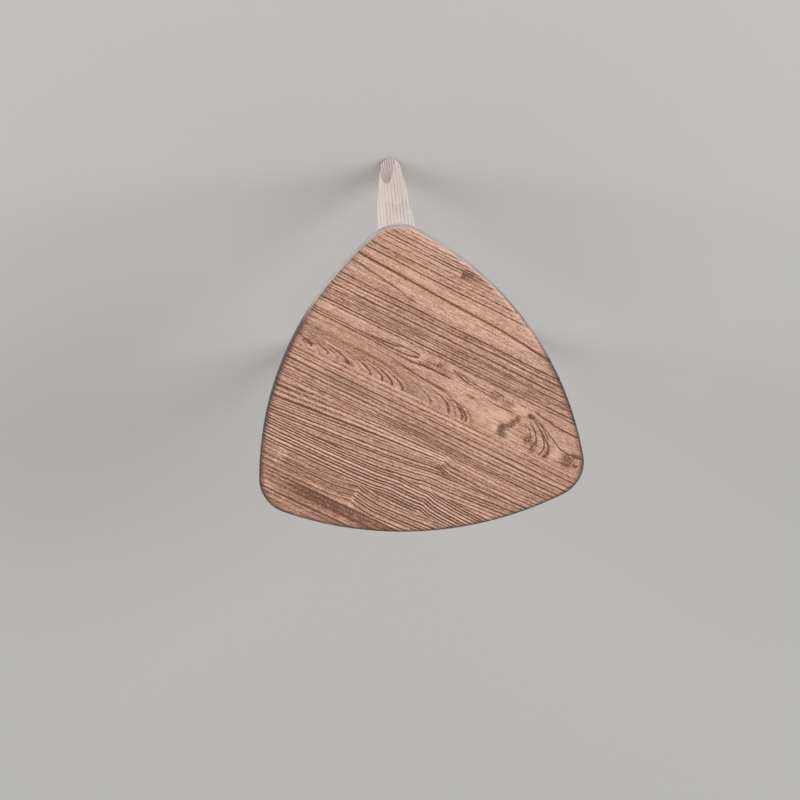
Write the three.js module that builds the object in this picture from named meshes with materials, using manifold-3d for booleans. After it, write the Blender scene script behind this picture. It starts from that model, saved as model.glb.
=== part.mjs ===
// Drink table: a rounded three-cornered top, glued up from finger-jointed staves, on three turned legs.
// Units are millimetres and +Z is up. The floor is z = 0 and the origin is the middle of the base of
// the bounding box. The staves run along X, towards the corner and the leg on the right.
// Each leg hangs on a hanger bolt, which screws into a threaded insert in the underside of the top.
import * as THREE from "three";
import { mergeVertices } from "three/addons/utils/BufferGeometryUtils.js";
import Module from "manifold-3d";

// Table
const tableHeight = 400;
const faceGap = 0.1; // between faces that press together
const overrun = 2; // how far a cut runs past the wood

// Top: three corner arcs, each tangent to the two bowed sides beside it
const cornerReach = 134; // from the table's axis to the centre of a corner's arc
const cornerRadius = 35;
const sideRadius = 316;
const topThickness = 20;
const edgeRounding = 4;
const cornerSteps = 12;
const sideSteps = 16;
const roundingSteps = 4;

// The outline isn't quite regular: the corners' reaches, and their bearings in degrees from +X, differ
const corners = [
  { name: "right", reachShare: 1.022, bearing: 2 },
  { name: "back_left", reachShare: 1, bearing: 123.8 },
  { name: "front_left", reachShare: 0.985, bearing: 241.7 },
];

// Staves: their seams as shares of the top's width from its front edge, and their end joints, one list
// for each stave from the front to the back, as shares of the top's depth from its left edge
const seamShares = [0.114, 0.197, 0.279, 0.347, 0.407, 0.533, 0.679, 0.802, 0.936];
const jointShares = [[], [0.137, 0.4], [0.596], [], [0.593], [], [], [0.387], [], [0.357]];
const glueLine = 0.1;
const fingerLength = 10;
const fingerTip = 0.8; // width of a finger's blunt end
const fingerCount = 5;

// Legs
const legInset = 20; // from the leg's edge to the corner's edge
const legTopDiameter = 40;
const legFootDiameter = 22;
const legSwell = 1.6; // how far the side stands proud of a straight taper at mid height
const legEase = 1; // softened rim at both ends
const legSides = 32;
const legRings = 12;

// Threaded insert, sunk in the underside of the top
const woodOverInsert = 6;
const insertSink = 0.2; // below the surface of the wood
const insertDiameter = 12;
const insertFlangeDiameter = 16;
const insertFlangeThickness = 1.5;
const insertClearance = 0.1;
const drillEndClearance = 0.5;

// Hanger bolt: a machine thread up into the insert and a wood screw thread down into the leg
const boltDiameter = 8;
const boltClearance = 0.1;
const boltWoodLength = 35;
const boltPoint = 5; // length of the cone at the wood screw end
const boltChamfer = 1;
const hardwareSides = 24;

// Felt pad under each foot
const padThickness = 3;
const padInset = 1; // from the pad's rim to the leg's rim
const padEase = 0.4;

const finish = (color, roughness, metalness) =>
  new THREE.MeshStandardMaterial({ color, roughness, metalness, flatShading: true });
const topWoods = [finish(0xad8574, 0.55, 0), finish(0xa57c6a, 0.55, 0), finish(0xb78f7c, 0.55, 0)];
const legWood = finish(0xcabcb8, 0.6, 0);
const brass = finish(0xb59a5c, 0.35, 1);
const zincPlate = finish(0xb9bcc0, 0.35, 1);
const felt = finish(0x4a4744, 0.95, 0);

const wasm = await Module();
wasm.setup();

const underside = tableHeight - topThickness;

function solidOf(geometry) {
  const bare = geometry.clone();
  bare.deleteAttribute("normal");
  bare.deleteAttribute("uv");
  const merged = mergeVertices(bare);
  const vertProperties = merged.attributes.position.array;
  const triVerts = new Uint32Array(merged.index.array);
  return new wasm.Manifold(new wasm.Mesh({ numProp: 3, vertProperties, triVerts }));
}

function geometryOf(solid) {
  const { vertProperties, triVerts } = solid.getMesh();
  const geometry = new THREE.BufferGeometry();
  geometry.setAttribute("position", new THREE.BufferAttribute(vertProperties, 3));
  geometry.setIndex(new THREE.BufferAttribute(triVerts, 1));
  geometry.computeVertexNormals();
  return geometry;
}

// A turned piece: its profile runs from the axis round to the axis, as [radius, height] pairs
function turned(profile, sides) {
  const points = profile.map(([radius, height]) => new THREE.Vector2(radius, height));
  return new THREE.LatheGeometry(points, sides).rotateX(Math.PI / 2);
}

function pointAt(reach, bearing) {
  const turn = THREE.MathUtils.degToRad(bearing);
  return new THREE.Vector2(reach * Math.cos(turn), reach * Math.sin(turn));
}

function angleFrom(centre, point) {
  return Math.atan2(point.y - centre.y, point.x - centre.x);
}

// Points on the arc about a centre, turning anticlockwise from one point's direction to another's
function arcPoints(centre, radius, from, to, steps) {
  const start = angleFrom(centre, from);
  const sweep = THREE.MathUtils.euclideanModulo(angleFrom(centre, to) - start, 2 * Math.PI);
  const points = [];
  for (let i = 0; i <= steps; i += 1) {
    const angle = start + (sweep * i) / steps;
    const x = centre.x + radius * Math.cos(angle);
    const y = centre.y + radius * Math.sin(angle);
    points.push(new THREE.Vector2(x, y));
  }
  return points;
}

// A side's arc is tangent to two corner arcs from outside them, so its centre lies at the difference
// of their radii from both corners' centres, across the table
function sideCentre(corner, next) {
  const along = next.clone().sub(corner);
  const inward = new THREE.Vector2(-along.y, along.x).normalize();
  const distance = Math.sqrt((sideRadius - cornerRadius) ** 2 - along.lengthSq() / 4);
  return corner.clone().addScaledVector(along, 1 / 2).addScaledVector(inward, distance);
}

function topOutline() {
  const centres = corners.map(({ reachShare, bearing }) => pointAt(reachShare * cornerReach, bearing));
  const sides = centres.map((corner, i) => sideCentre(corner, centres[(i + 1) % centres.length]));
  const points = [];
  centres.forEach((corner, i) => {
    const side = sides[i];
    const next = centres[(i + 1) % centres.length];
    // the corner's arc starts where the last side's ends, on the line through both centres
    const start = corner.clone().multiplyScalar(2).sub(sides.at(i - 1));
    const end = corner.clone().multiplyScalar(2).sub(side);
    points.push(...arcPoints(corner, cornerRadius, start, end, cornerSteps));
    points.push(...arcPoints(side, sideRadius, corner, next, sideSteps).slice(1, -1));
  });
  return points;
}

const outline = topOutline();
const outlineBox = new THREE.Box2().setFromPoints(outline);
const outlineSize = outlineBox.getSize(new THREE.Vector2());
const outlineCentre = outlineBox.getCenter(new THREE.Vector2());

function legReach(reachShare) {
  return reachShare * cornerReach + cornerRadius - legInset - legTopDiameter / 2;
}

// The glued panel after it is cut to shape and its edges are rounded over
function topBlank() {
  const geometry = new THREE.ExtrudeGeometry(new THREE.Shape(outline), {
    depth: topThickness - 2 * edgeRounding,
    bevelThickness: edgeRounding,
    bevelSize: edgeRounding,
    bevelOffset: -edgeRounding,
    bevelSegments: roundingSteps,
  });
  return solidOf(geometry.translate(0, 0, underside + edgeRounding));
}

// Hole for one insert: a drilled bore with a wider seat for the flange
function insertHole({ reachShare, bearing }) {
  const bore = insertDiameter / 2 + insertClearance;
  const seat = insertFlangeDiameter / 2 + insertClearance;
  const seatTop = underside + insertSink + insertFlangeThickness + insertClearance;
  const boreTop = tableHeight - woodOverInsert;
  const profile = [
    [0, underside - overrun],
    [seat, underside - overrun],
    [seat, seatTop],
    [bore, seatTop],
    [bore, boreTop],
    [0, boreTop],
  ];
  const place = pointAt(legReach(reachShare), bearing);
  return solidOf(turned(profile, hardwareSides).translate(place.x, place.y, 0));
}

// One side of a finger joint, from the underside up. Side -1 is the end of the stave on the left of
// the joint and side 1 the end of the stave on its right, with the glue line between them.
function fingerLine(jointX, side) {
  const pitch = topThickness / fingerCount;
  const line = [];
  for (let i = 0; i <= 2 * fingerCount; i += 1) {
    const pointsRight = i % 2 === 1;
    const x = jointX + (pointsRight ? fingerLength : 0) + (side * glueLine) / 2;
    const isOwnTip = pointsRight === side < 0;
    const halfTip = (fingerTip + (isOwnTip ? -glueLine : glueLine)) / 2;
    const z = underside + (i * pitch) / 2;
    line.push([x, z - halfTip], [x, z + halfTip]);
  }
  line[0][1] -= overrun;
  line.at(-1)[1] += overrun;
  return line;
}

// The plain end of a space that runs past the top's outline
function squareLine(x) {
  return [
    [x, underside - overrun],
    [x, tableHeight + overrun],
  ];
}

// The space of one stave piece between its two seams and its two ends
function staveSpace(front, back, leftLine, rightLine) {
  const loop = [...rightLine, ...leftLine.reverse()];
  const shape = new THREE.Shape(loop.map(([x, z]) => new THREE.Vector2(x, z)));
  const geometry = new THREE.ExtrudeGeometry(shape, { depth: back - front, bevelEnabled: false });
  return solidOf(geometry.rotateX(Math.PI / 2).translate(0, back, 0));
}

function addStaves(table) {
  let blank = topBlank();
  for (const corner of corners) {
    blank = blank.subtract(insertHole(corner));
  }
  const { min, max } = outlineBox;
  const seams = seamShares.map((share) => min.y + share * outlineSize.y);
  const edges = [min.y - overrun, ...seams, max.y + overrun];
  jointShares.forEach((shares, index) => {
    const front = edges[index] + glueLine / 2;
    const back = edges[index + 1] - glueLine / 2;
    const joints = shares.map((share) => min.x + share * outlineSize.x);
    for (let piece = 0; piece <= joints.length; piece += 1) {
      const isFirst = piece === 0;
      const isLast = piece === joints.length;
      const leftLine = isFirst ? squareLine(min.x - overrun) : fingerLine(joints[piece - 1], 1);
      const rightLine = isLast ? squareLine(max.x + overrun) : fingerLine(joints[piece], -1);
      const solid = blank.intersect(staveSpace(front, back, leftLine, rightLine));
      const number = String(index + 1).padStart(2, "0");
      const letter = joints.length > 0 ? "_" + "abc"[piece] : "";
      const mesh = new THREE.Mesh(geometryOf(solid), topWoods[(index + piece) % topWoods.length]);
      mesh.name = "top_stave_" + number + letter;
      table.add(mesh);
    }
  });
}

// A leg turned with a slight swell, with the pilot bore for its hanger bolt down its top end
function legGeometry() {
  const foot = padThickness + faceGap;
  const top = underside - faceGap;
  const footRadius = legFootDiameter / 2;
  const topRadius = legTopDiameter / 2;
  const bore = boltDiameter / 2 + boltClearance;
  const boreBottom = top - boltWoodLength - boltClearance;
  const profile = [
    [0, foot],
    [footRadius - legEase, foot],
  ];
  for (let i = 0; i <= legRings; i += 1) {
    const share = i / legRings;
    const taper = footRadius + (topRadius - footRadius) * share;
    const swell = 4 * legSwell * share * (1 - share);
    profile.push([taper + swell, foot + legEase + (top - foot - 2 * legEase) * share]);
  }
  profile.push([topRadius - legEase, top], [bore, top], [bore, boreBottom + boltPoint], [0, boreBottom]);
  return turned(profile, legSides);
}

function insertGeometry() {
  const bottom = underside + insertSink;
  const top = tableHeight - woodOverInsert - drillEndClearance;
  const bore = boltDiameter / 2 + boltClearance;
  const barrel = insertDiameter / 2;
  const flange = insertFlangeDiameter / 2;
  const flangeTop = bottom + insertFlangeThickness;
  const profile = [
    [bore, bottom],
    [flange, bottom],
    [flange, flangeTop],
    [barrel, flangeTop],
    [barrel, top],
    [bore, top],
    [bore, bottom],
  ];
  return turned(profile, hardwareSides);
}

function hangerBoltGeometry() {
  const point = underside - faceGap - boltWoodLength;
  const top = tableHeight - woodOverInsert - drillEndClearance - boltChamfer;
  const radius = boltDiameter / 2;
  const profile = [
    [0, point],
    [radius, point + boltPoint],
    [radius, top - boltChamfer],
    [radius - boltChamfer, top],
    [0, top],
  ];
  return turned(profile, hardwareSides);
}

function padGeometry() {
  const radius = legFootDiameter / 2 - padInset;
  const profile = [
    [0, 0],
    [radius - padEase, 0],
    [radius, padEase],
    [radius, padThickness - padEase],
    [radius - padEase, padThickness],
    [0, padThickness],
  ];
  return turned(profile, hardwareSides);
}

// The same four pieces stand at each corner, on the corner's own axis
function addCorner(table, { name, reachShare, bearing }) {
  const corner = new THREE.Group();
  corner.rotation.z = THREE.MathUtils.degToRad(bearing);
  const pieces = [
    ["leg_", legGeometry(), legWood],
    ["threaded_insert_", insertGeometry(), brass],
    ["hanger_bolt_", hangerBoltGeometry(), zincPlate],
    ["felt_pad_", padGeometry(), felt],
  ];
  for (const [prefix, geometry, material] of pieces) {
    const mesh = new THREE.Mesh(geometry, material);
    mesh.name = prefix + name;
    mesh.position.x = legReach(reachShare);
    corner.add(mesh);
  }
  table.add(corner);
}

const table = new THREE.Group();
table.position.set(-outlineCentre.x, -outlineCentre.y, 0);
addStaves(table);
for (const corner of corners) {
  addCorner(table, corner);
}

export default table;
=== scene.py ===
# %% [markdown]
# # A drink table
#
# The real table is a small panel on three turned legs. The panel is glued up from long strips of
# softwood, called staves, and some of the staves are finger-jointed from shorter lengths. It is cut to
# a rounded triangle, its rim is rounded over, and its face is brushed, stained red-brown and lacquered.
# The legs are limed pale wood, each held by a hanger bolt in a brass insert, with a felt pad below.
#
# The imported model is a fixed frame: it says where every piece is. The cells below model a finer piece
# for each node and give it the finish of the real one.

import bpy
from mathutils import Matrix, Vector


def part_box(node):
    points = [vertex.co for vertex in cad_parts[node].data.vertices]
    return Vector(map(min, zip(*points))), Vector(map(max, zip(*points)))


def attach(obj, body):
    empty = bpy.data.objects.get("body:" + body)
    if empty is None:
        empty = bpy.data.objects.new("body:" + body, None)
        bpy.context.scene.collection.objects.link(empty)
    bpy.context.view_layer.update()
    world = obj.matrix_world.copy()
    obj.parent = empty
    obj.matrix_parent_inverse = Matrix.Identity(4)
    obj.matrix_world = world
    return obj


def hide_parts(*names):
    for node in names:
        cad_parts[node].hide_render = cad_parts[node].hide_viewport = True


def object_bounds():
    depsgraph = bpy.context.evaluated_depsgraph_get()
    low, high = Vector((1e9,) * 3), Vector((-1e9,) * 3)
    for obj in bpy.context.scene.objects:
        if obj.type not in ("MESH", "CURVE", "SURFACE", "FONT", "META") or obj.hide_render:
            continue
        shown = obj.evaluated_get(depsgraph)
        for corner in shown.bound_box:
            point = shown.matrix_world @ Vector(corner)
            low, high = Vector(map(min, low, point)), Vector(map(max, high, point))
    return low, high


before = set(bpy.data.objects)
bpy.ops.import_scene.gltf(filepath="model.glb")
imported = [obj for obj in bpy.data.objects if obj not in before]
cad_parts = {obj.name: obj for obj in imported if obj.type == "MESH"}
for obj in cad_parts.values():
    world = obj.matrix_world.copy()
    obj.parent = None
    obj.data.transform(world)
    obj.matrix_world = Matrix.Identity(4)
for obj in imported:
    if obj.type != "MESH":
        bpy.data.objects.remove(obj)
cad_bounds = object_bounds()
print("nodes in the frame:", len(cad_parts))

# %% Units and modules
import math

import bpy
from mathutils import Quaternion, Vector

MM = 0.001
UP = Vector((0, 0, 1))


def deselect_all():
    bpy.ops.object.select_all(action="DESELECT")


def make_active(piece):
    deselect_all()
    piece.select_set(True)
    bpy.context.view_layer.objects.active = piece


print("one millimetre is", MM, "of Blender's units")

# %% [markdown]
# ## Camera
#
# A camera can be placed by hand, by matching lines, or by numbers. Here the numbers are simple: a point
# that shows in the middle of the picture, the camera's distance from it, its bearing and its height
# above the horizon, and a roll, because the photograph shows the table with its far corner upwards.

# %% Place the camera
camera_aim = Vector((-36.4, 1.0, 400)) * MM
camera_distance = 1929.4 * MM
camera_bearing = math.radians(122.16)
camera_elevation = math.radians(70.23)
camera_roll = math.radians(175.44)
sensor_width = 36
focal_length = 94.5


def direction_at(bearing, elevation):
    """The direction at a bearing from +X and a height above the horizon, both in radians."""
    level = math.cos(elevation)
    return Vector((level * math.cos(bearing), level * math.sin(bearing), math.sin(elevation)))


direction = direction_at(camera_bearing, camera_elevation)
camera_data = bpy.data.cameras.new("camera")
camera_data.sensor_width = sensor_width
camera_data.lens = focal_length
camera = bpy.data.objects.new("camera", camera_data)
bpy.context.scene.collection.objects.link(camera)
camera.location = camera_aim + direction * camera_distance
camera.rotation_mode = "QUATERNION"
roll = Quaternion(UP, camera_roll)
camera.rotation_quaternion = (-direction).to_track_quat("-Z", "Y") @ roll
bpy.context.scene.camera = camera
print("camera at", tuple(round(value, 3) for value in camera.location))

# %% [markdown]
# ## Measures from the frame
#
# Each node's box gives the size and the place of the piece that stands in for it. The outline of the
# top is the one thing that boxes don't give, so its few driving sizes are named again here: three
# corner arcs, each tangent to the two wide arcs of the bowed sides beside it.

# %% Measure the frame
names = sorted(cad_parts)
stave_names = [name for name in names if name.startswith("top_stave")]
corner_names = ["right", "back_left", "front_left"]

corner_reach = 134 * MM
corner_radius = 35 * MM
side_radius = 316 * MM
edge_rounding = 4 * MM
leg_inset = 20 * MM

# the real outline isn't quite even: each corner has its own share of the reach and its own bearing
reach_shares = [1.022, 1, 0.985]
bearings = [math.radians(angle) for angle in (2, 123.8, 241.7)]


def box_middle(node):
    low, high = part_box(node)
    return (low + high) / 2


def point_at(reach, bearing):
    return Vector((reach * math.cos(bearing), reach * math.sin(bearing), 0))


leg_radius = 20 * MM
leg_reach = reach_shares[0] * corner_reach + corner_radius - leg_inset - leg_radius
axis = box_middle("leg_right") - point_at(leg_reach, bearings[0])
axis.z = 0
stave_boxes = {name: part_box(name) for name in stave_names}
underside = min(low.z for low, high in stave_boxes.values())
face = max(high.z for low, high in stave_boxes.values())
print("the table's axis stands at", tuple(round(value / MM, 2) for value in axis), "mm")

# %% [markdown]
# ## The panel's blank
#
# The outline is drawn as a draughtsman would with compasses. One vertex is spun about a corner's
# centre, then its last copy about the centre of the next side, and so on round the table. The closed
# line becomes a face, the face is extruded by the panel's thickness, and a bevel rounds the rim over.

# %% Tools to start and to finish a piece
merge_distance = 0.0001 * MM
soft_angle = 35
face_weight = 100


def first_vertex(name, place):
    """Start a piece as a single selected vertex, and stay in edit mode."""
    deselect_all()
    bpy.ops.mesh.primitive_plane_add(size=MM, location=place)
    piece = bpy.context.object
    piece.name = name
    piece.data.name = name
    bpy.ops.object.mode_set(mode="EDIT")
    bpy.ops.mesh.select_all(action="SELECT")
    bpy.ops.mesh.merge(type="CENTER")
    return piece


def draw_to(start, points):
    """Extrude the selected vertex along a line of points."""
    last = start
    for point in points:
        bpy.ops.mesh.extrude_vertices_move(TRANSFORM_OT_translate={"value": point - last})
        last = point


def clean_mesh(piece):
    """Leave edit mode with merged vertices, faces that point outwards and the place in the mesh."""
    bpy.ops.mesh.select_all(action="SELECT")
    bpy.ops.mesh.remove_doubles(threshold=merge_distance)
    bpy.ops.mesh.normals_make_consistent(inside=False)
    bpy.ops.object.mode_set(mode="OBJECT")
    make_active(piece)
    bpy.ops.object.transform_apply(location=True, rotation=True, scale=True)


def apply_modifier(piece, kind, **settings):
    """Add one modifier with its settings and apply it."""
    make_active(piece)
    modifier = piece.modifiers.new(kind.lower(), kind)
    for name, value in settings.items():
        setattr(modifier, name, value)
    bpy.ops.object.modifier_apply(modifier=modifier.name)


def smooth_faces(piece, angle=soft_angle):
    """Shade smooth across soft edges only, and keep broad flat faces flat."""
    make_active(piece)
    bpy.ops.object.shade_smooth_by_angle(angle=math.radians(angle), keep_sharp_edges=False)
    apply_modifier(piece, "WEIGHTED_NORMAL", keep_sharp=True, weight=face_weight)


print("edges are shaded smooth up to", soft_angle, "degrees")

# %% Work out the arcs of the outline
corner_steps = 24
side_steps = 32

corner_centres = [
    axis + point_at(share * corner_reach, bearing) for share, bearing in zip(reach_shares, bearings)
]


def side_centre(corner, following):
    """A side is tangent to two corner arcs, so its centre is equally far from both corners' centres."""
    along = following - corner
    inward = UP.cross(along).normalized()
    distance = math.sqrt((side_radius - corner_radius) ** 2 - along.length_squared / 4)
    return corner + along / 2 + inward * distance


def bearing_from(centre, point):
    return math.atan2(point.y - centre.y, point.x - centre.x)


side_centres = [side_centre(corner_centres[i], corner_centres[(i + 1) % 3]) for i in range(3)]
arcs = []
for i in range(3):
    corner = corner_centres[i]
    into = bearing_from(side_centres[i - 1], corner)
    out = bearing_from(side_centres[i], corner)
    away = bearing_from(side_centres[i], corner_centres[(i + 1) % 3])
    arcs.append((corner, (out - into) % (2 * math.pi), corner_steps))
    arcs.append((side_centres[i], (away - out) % (2 * math.pi), side_steps))
print("the outline turns through", [round(math.degrees(turn), 1) for centre, turn, steps in arcs])

# %% Draw the outline and raise the blank
closing_distance = 0.01 * MM
rounding_steps = 8
rim_angle = math.radians(60)
lift = UP * underside

start = corner_centres[0] + point_at(corner_radius, bearing_from(side_centres[-1], corner_centres[0]))
blank = first_vertex("blank", start + lift)
for centre, turn, steps in arcs:
    bpy.ops.mesh.spin(steps=steps, angle=turn, center=centre + lift, axis=-UP)
bpy.ops.mesh.select_all(action="SELECT")
bpy.ops.mesh.remove_doubles(threshold=closing_distance)
bpy.ops.mesh.edge_face_add()
bpy.ops.mesh.extrude_region_move(TRANSFORM_OT_translate={"value": UP * (face - underside)})
clean_mesh(blank)
apply_modifier(
    blank, "BEVEL", width=edge_rounding, segments=rounding_steps, limit_method="ANGLE",
    angle_limit=rim_angle,
)
print("blank:", len(blank.data.vertices), "vertices,", tuple(round(v / MM, 2) for v in blank.dimensions))

# %% [markdown]
# ## Holes for the inserts
#
# Each leg's bolt goes into a brass insert, which sits in a stepped hole in the underside. A hole is
# what a drill and a counterbore leave, so its cutter is a turned shape, taken away with a Boolean.

# %% Turn a profile round an upright line
def turned(name, profile, middle, segments):
    """Spin a profile of (radius, height) pairs once round the upright line through middle."""
    points = [Vector((middle.x + radius, middle.y, height)) for radius, height in profile]
    piece = first_vertex(name, points[0])
    draw_to(points[0], points[1:])
    bpy.ops.mesh.select_all(action="SELECT")
    bpy.ops.mesh.spin(steps=segments, angle=2 * math.pi, center=(middle.x, middle.y, 0), axis=UP)
    clean_mesh(piece)
    return piece


# %% Drill the holes
hole_clearance = 0.1 * MM
overrun = 2 * MM
insert_flange_radius = 8 * MM
insert_flange = 1.5 * MM
insert_radius = 6 * MM
wood_over_insert = 6 * MM
hardware_segments = 48

for corner in corner_names:
    middle = box_middle("threaded_insert_" + corner)
    insert_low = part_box("threaded_insert_" + corner)[0]
    seat_radius = insert_flange_radius + hole_clearance
    seat_top = insert_low.z + insert_flange + hole_clearance
    hole_radius = insert_radius + hole_clearance
    hole_top = face - wood_over_insert
    profile = [
        (0, underside - overrun),
        (seat_radius, underside - overrun),
        (seat_radius, seat_top),
        (hole_radius, seat_top),
        (hole_radius, hole_top),
        (0, hole_top),
    ]
    drill = turned("drill", profile, middle, hardware_segments)
    apply_modifier(blank, "BOOLEAN", object=drill, operation="DIFFERENCE", solver="EXACT")
    bpy.data.objects.remove(drill)
print("blank with its holes:", len(blank.data.polygons), "faces")

# %% [markdown]
# ## The staves
#
# A stave piece is the part of the blank between two seams and two ends. A plain end runs past the
# outline. A finger-jointed end is a zigzag through the thickness, so it shows as a straight line on the
# face and as interlocking fingers on the edge. The space of a piece is drawn as a line of points,
# filled, extruded across the stave and intersected with a copy of the blank.

# %% Draw the ends of the staves
glue_line = 0.1 * MM
finger_length = 10 * MM
finger_tip = 0.8 * MM
finger_count = 5
left_end = cad_bounds[0][0] - overrun
right_end = cad_bounds[1][0] + overrun


def square_line(x):
    """A plain end, from below the panel to above it."""
    return [(x, underside - overrun), (x, face + overrun)]


def finger_line(joint, side):
    """One side of a finger joint, with side -1 for the stave on its left and 1 for the one on its right."""
    pitch = (face - underside) / finger_count
    line = []
    for i in range(2 * finger_count + 1):
        points_right = i % 2 == 1
        is_own_tip = points_right == (side < 0)
        half_tip = (finger_tip + (-glue_line if is_own_tip else glue_line)) / 2
        x = joint + (finger_length if points_right else 0) + side * glue_line / 2
        z = underside + i * pitch / 2
        line += [(x, z - half_tip), (x, z + half_tip)]
    line[0] = (line[0][0], underside - overrun)
    line[-1] = (line[-1][0], face + overrun)
    return line


def row_of(name):
    """The number of a piece's stave, which the pieces of one stave share."""
    return name.removeprefix("top_stave_").split("_")[0]


def end_lines(name):
    """The left and the right end of a stave piece, told by the boxes of its neighbours in the stave."""
    row = [other for other in stave_names if row_of(other) == row_of(name)]
    place = row.index(name)
    lines = [square_line(left_end), square_line(right_end)]
    if place > 0:
        joint = stave_boxes[name][0].x - glue_line / 2
        lines[0] = finger_line(joint, 1)
    if place < len(row) - 1:
        joint = stave_boxes[row[place + 1]][0].x - glue_line / 2
        lines[1] = finger_line(joint, -1)
    return lines


print("a joint has", finger_count, "fingers of", finger_length / MM, "mm in each half")

# %% Cut the staves from copies of the blank
def stave_space(name):
    """The space of one stave piece, as a closed prism."""
    low, high = stave_boxes[name]
    front = low.y if low.y > cad_bounds[0][1] + glue_line else low.y - overrun
    back = high.y if high.y < cad_bounds[1][1] - glue_line else high.y + overrun
    left_line, right_line = end_lines(name)
    loop = right_line + left_line[::-1]
    points = [Vector((x, front, z)) for x, z in loop]
    space = first_vertex("space", points[0])
    draw_to(points[0], points[1:])
    bpy.ops.mesh.select_all(action="SELECT")
    bpy.ops.mesh.edge_face_add()
    depth = Vector((0, back - front, 0))
    bpy.ops.mesh.extrude_region_move(TRANSFORM_OT_translate={"value": depth})
    clean_mesh(space)
    return space


staves = {}
for name in stave_names:
    stave = blank.copy()
    stave.data = blank.data.copy()
    bpy.context.scene.collection.objects.link(stave)
    stave.name = "brushed_" + name
    stave.data.name = stave.name
    space = stave_space(name)
    apply_modifier(stave, "BOOLEAN", object=space, operation="INTERSECT", solver="EXACT")
    bpy.data.objects.remove(space)
    smooth_faces(stave)
    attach(stave, "root")
    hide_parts(name)
    staves[name] = stave
    print(stave.name, "has", len(stave.data.polygons), "faces")
bpy.data.objects.remove(blank)

# %% [markdown]
# ## The legs
#
# A leg is turned on a lathe: a slim cone with a slight swell, and a pilot bore for its bolt down the
# top end. Spinning the profile is the same work as the lathe's. The swell is a parabola that is fullest
# at half the height. Sixty-four sides keep the outline round, and a small bevel eases both rims.

# %% Turn the legs
foot_radius = 11 * MM
leg_swell = 1.6 * MM
leg_ease = 1 * MM
ease_steps = 4
ease_angle = math.radians(50)
leg_rings = 24
leg_segments = 64
bolt_radius = 4 * MM
bore_radius = bolt_radius + hole_clearance
bolt_point = 5 * MM

legs = {}
for corner in corner_names:
    low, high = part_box("leg_" + corner)
    bolt_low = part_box("hanger_bolt_" + corner)[0]
    foot, top = low.z, high.z
    profile = [(0, foot)]
    for i in range(leg_rings + 1):
        share = i / leg_rings
        swell = 4 * leg_swell * share * (1 - share)
        radius = foot_radius + (leg_radius - foot_radius) * share + swell
        profile.append((radius, foot + (top - foot) * share))
    bore_end = bolt_low.z - hole_clearance
    profile += [(bore_radius, top), (bore_radius, bore_end + bolt_point), (0, bore_end)]
    leg = turned("turned_leg_" + corner, profile, box_middle("leg_" + corner), leg_segments)
    apply_modifier(
        leg, "BEVEL", width=leg_ease, segments=ease_steps, limit_method="ANGLE", angle_limit=ease_angle
    )
    smooth_faces(leg)
    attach(leg, "root")
    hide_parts("leg_" + corner)
    legs[corner] = leg
print("leg:", len(leg.data.polygons), "faces,", round((top - foot) / MM, 1), "mm long")

# %% [markdown]
# ## Threads
#
# The bolts and the inserts are plain cylinders in the frame. A thread can be made with the Screw tool,
# but that leaves ragged ends to close. Here the piece is turned with many thin rings, and each vertex
# on the threaded length is moved in by how far the thread's flank is from its crest there. The mesh
# stays closed, and the thread fades out at both ends as a cut one does.

# %% Cut a thread into a turned piece
crest_share = 0.1
wall_tolerance = 0.02 * MM


def height_steps(low, high, step):
    """Heights from low to high, no further apart than step."""
    count = math.ceil((high - low) / step)
    return [low + (high - low) * i / count for i in range(count + 1)]


def cut_thread(piece, middle, radius, low, high, pitch, depth, fades):
    """Move the wall at one radius in to the thread's form. Fades are the run-outs at its two ends."""
    for vertex in piece.data.vertices:
        offset = vertex.co - middle
        distance = math.hypot(offset.x, offset.y)
        if abs(distance - radius) > wall_tolerance or not low < vertex.co.z < high:
            continue
        turn = math.atan2(offset.y, offset.x) / (2 * math.pi)
        phase = (vertex.co.z / pitch - turn) % 1
        from_crest = abs(2 * phase - 1)
        share = min(1, max(0, (from_crest - crest_share) / (1 - 2 * crest_share)))
        run_in = min(1, (vertex.co.z - low) / fades[0]) if fades[0] else 1
        run_out = min(1, (high - vertex.co.z) / fades[1]) if fades[1] else 1
        factor = (radius - depth * share * run_in * run_out) / distance
        vertex.co.x = middle.x + offset.x * factor
        vertex.co.y = middle.y + offset.y * factor


print("a thread's crest is as wide as", 2 * crest_share, "of its pitch")

# %% Make the hanger bolts
machine_pitch = 1.25 * MM
machine_depth = 0.65 * MM
screw_pitch = 2.8 * MM
screw_depth = 1.0 * MM
bolt_chamfer = 1 * MM
thread_steps = 8
thread_angle = 25
shank_length = 6 * MM
shank_above = 3 * MM

bolts = {}
for corner in corner_names:
    name = "hanger_bolt_" + corner
    low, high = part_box(name)
    middle = box_middle(name)
    middle.z = 0
    screw_low = low.z + bolt_point
    shank_low = underside - shank_length
    shank_high = underside - shank_above
    machine_high = high.z - bolt_chamfer
    heights = height_steps(screw_low, shank_low, screw_pitch / thread_steps)
    heights += height_steps(shank_high, machine_high, machine_pitch / thread_steps)
    profile = [(0, low.z)] + [(bolt_radius, height) for height in heights]
    profile += [(bolt_radius - bolt_chamfer, high.z), (0, high.z)]
    bolt = turned("threaded_" + name, profile, middle, hardware_segments)
    cut_thread(bolt, middle, bolt_radius, screw_low, shank_low, screw_pitch, screw_depth, (0, screw_pitch))
    cut_thread(
        bolt, middle, bolt_radius, shank_high, machine_high, machine_pitch, machine_depth,
        (machine_pitch, 0),
    )
    smooth_faces(bolt, thread_angle)
    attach(bolt, "root")
    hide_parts(name)
    bolts[corner] = bolt
print("hanger bolt:", len(bolt.data.polygons), "faces")

# %% Make the threaded inserts
barrel_pitch = 2.5 * MM
barrel_depth = 0.8 * MM
insert_bore = bolt_radius + hole_clearance

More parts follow.
